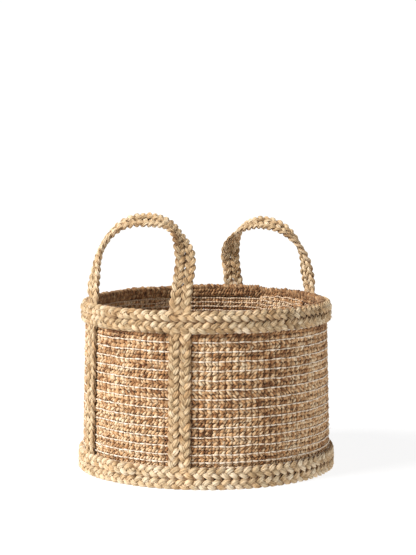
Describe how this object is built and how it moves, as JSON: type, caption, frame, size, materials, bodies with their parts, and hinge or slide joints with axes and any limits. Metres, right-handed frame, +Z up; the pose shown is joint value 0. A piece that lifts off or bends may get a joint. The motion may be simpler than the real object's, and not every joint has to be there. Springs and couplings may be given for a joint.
{
  "type": "storage basket",
  "caption": "Round braided jute storage basket, open at the top, with plaited rim and foot bands and two looped carrying handles that fold.",
  "frame": {"origin": "on the floor, at the centre of the basket's foot", "axes": "+Z up, the handles at -X (left) and +X (right), their hinge lines along Y"},
  "size_m": [0.3838, 0.3838, 0.3825],
  "materials": {
    "woven_jute": "matte coarse woven cloth of jute and white cotton",
    "braided_jute": "matte three-strand jute plait with a slight fibre sheen",
    "cotton_thread": "matte twisted cotton thread"
  },
  "bodies": {
    "basket": {"base_band_thread": "cotton_thread", "base_lower_plait": "braided_jute", "base_upper_plait": "braided_jute", "left_back_strap_inner_plait": "braided_jute", "left_back_strap_outer_plait": "braided_jute", "left_back_strap_thread": "cotton_thread", "left_front_strap_inner_plait": "braided_jute", "left_front_strap_outer_plait": "braided_jute", "left_front_strap_thread": "cotton_thread", "right_back_strap_inner_plait": "braided_jute", "right_back_strap_outer_plait": "braided_jute", "right_back_strap_thread": "cotton_thread", "right_front_strap_inner_plait": "braided_jute", "right_front_strap_outer_plait": "braided_jute", "right_front_strap_thread": "cotton_thread", "rim_band_thread": "cotton_thread", "rim_lower_plait": "braided_jute", "rim_upper_plait": "braided_jute", "woven_base": "woven_jute", "woven_wall": "woven_jute"},
    "left_handle": {"left_handle_inner_plait": "braided_jute", "left_handle_outer_plait": "braided_jute", "left_handle_thread": "cotton_thread"},
    "right_handle": {"right_handle_inner_plait": "braided_jute", "right_handle_outer_plait": "braided_jute", "right_handle_thread": "cotton_thread"}
  },
  "joints": [
    {"name": "left_handle_fold", "type": "hinge", "parent": "basket", "child": "left_handle", "pos_m": [-0.162, 0, 0.25525], "axis": [0, 1, 0], "range_deg": [-103.5, 76.5]},
    {"name": "right_handle_fold", "type": "hinge", "parent": "basket", "child": "right_handle", "pos_m": [0.162, 0, 0.25525], "axis": [0, -1, 0], "range_deg": [-103.5, 76.5]}
  ]
}
